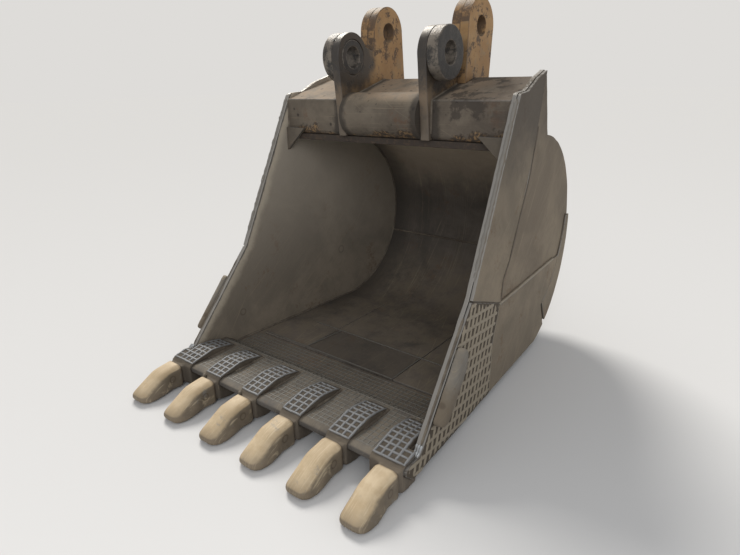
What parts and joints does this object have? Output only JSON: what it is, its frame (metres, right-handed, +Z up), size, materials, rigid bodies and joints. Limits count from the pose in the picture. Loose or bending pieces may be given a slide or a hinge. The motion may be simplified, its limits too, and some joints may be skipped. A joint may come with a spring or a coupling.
{
  "type": "excavator digging bucket",
  "caption": "Heavy digging bucket with a rolled heel, a toothed lip, side armour and a two-ear hinge bored for the stick pin and the link pin, parked on its floor.",
  "frame": {"origin": "centre of the stick pin bore, midway between the hinge ears", "axes": "+X along the stick pin, to the right as seen from the mouth; -Y towards the tooth tips; +Z up as the bucket stands parked on its floor straps and tooth tips"},
  "size_m": [1.5176, 2.0899, 1.785],
  "materials": {
    "shell": "dusty, worn brown-grey paint over steel",
    "inside": "scoured and rusted steel, dull",
    "lip_steel": "worn steel with dull hardfacing",
    "tip": "sand-coloured paint, rubbed and dusty",
    "armour": "dusty worn steel",
    "ear_paint": "faded orange-yellow paint, chipped",
    "boss": "black with old grease and dust",
    "pin_steel": "dull steel"
  },
  "bodies": {
    "root": {"side_plate_left": "shell", "side_plate_right": "shell", "wrapper_upper": "inside", "wrapper_lower": "inside", "lip": "lip_steel", "beam_left": "shell", "beam_center": "shell", "beam_right": "shell", "ear_left": "ear_paint", "ear_right": "ear_paint", "stick_boss_left": "boss", "stick_boss_right": "boss", "link_doubler_left": "ear_paint", "link_doubler_right": "ear_paint", "gusset_left": "shell", "gusset_right": "shell", "side_bar_left": "armour", "side_bar_right": "armour", "cheek_plate_left": "armour", "cheek_plate_right": "armour", "wear_plate_left": "armour", "wear_plate_right": "armour", "heel_strip_left": "armour", "heel_strip_right": "armour", "side_protector_left": "tip", "side_protector_right": "tip", "floor_straps": "armour", "floor_liners": "inside", "tip_pins": "pin_steel", "adapter_1": "lip_steel", "tooth_tip_1": "tip", "adapter_2": "lip_steel", "tooth_tip_2": "tip", "adapter_3": "lip_steel", "tooth_tip_3": "tip", "adapter_4": "lip_steel", "tooth_tip_4": "tip", "adapter_5": "lip_steel", "tooth_tip_5": "tip", "adapter_6": "lip_steel", "tooth_tip_6": "tip"}
  },
  "joints": []
}
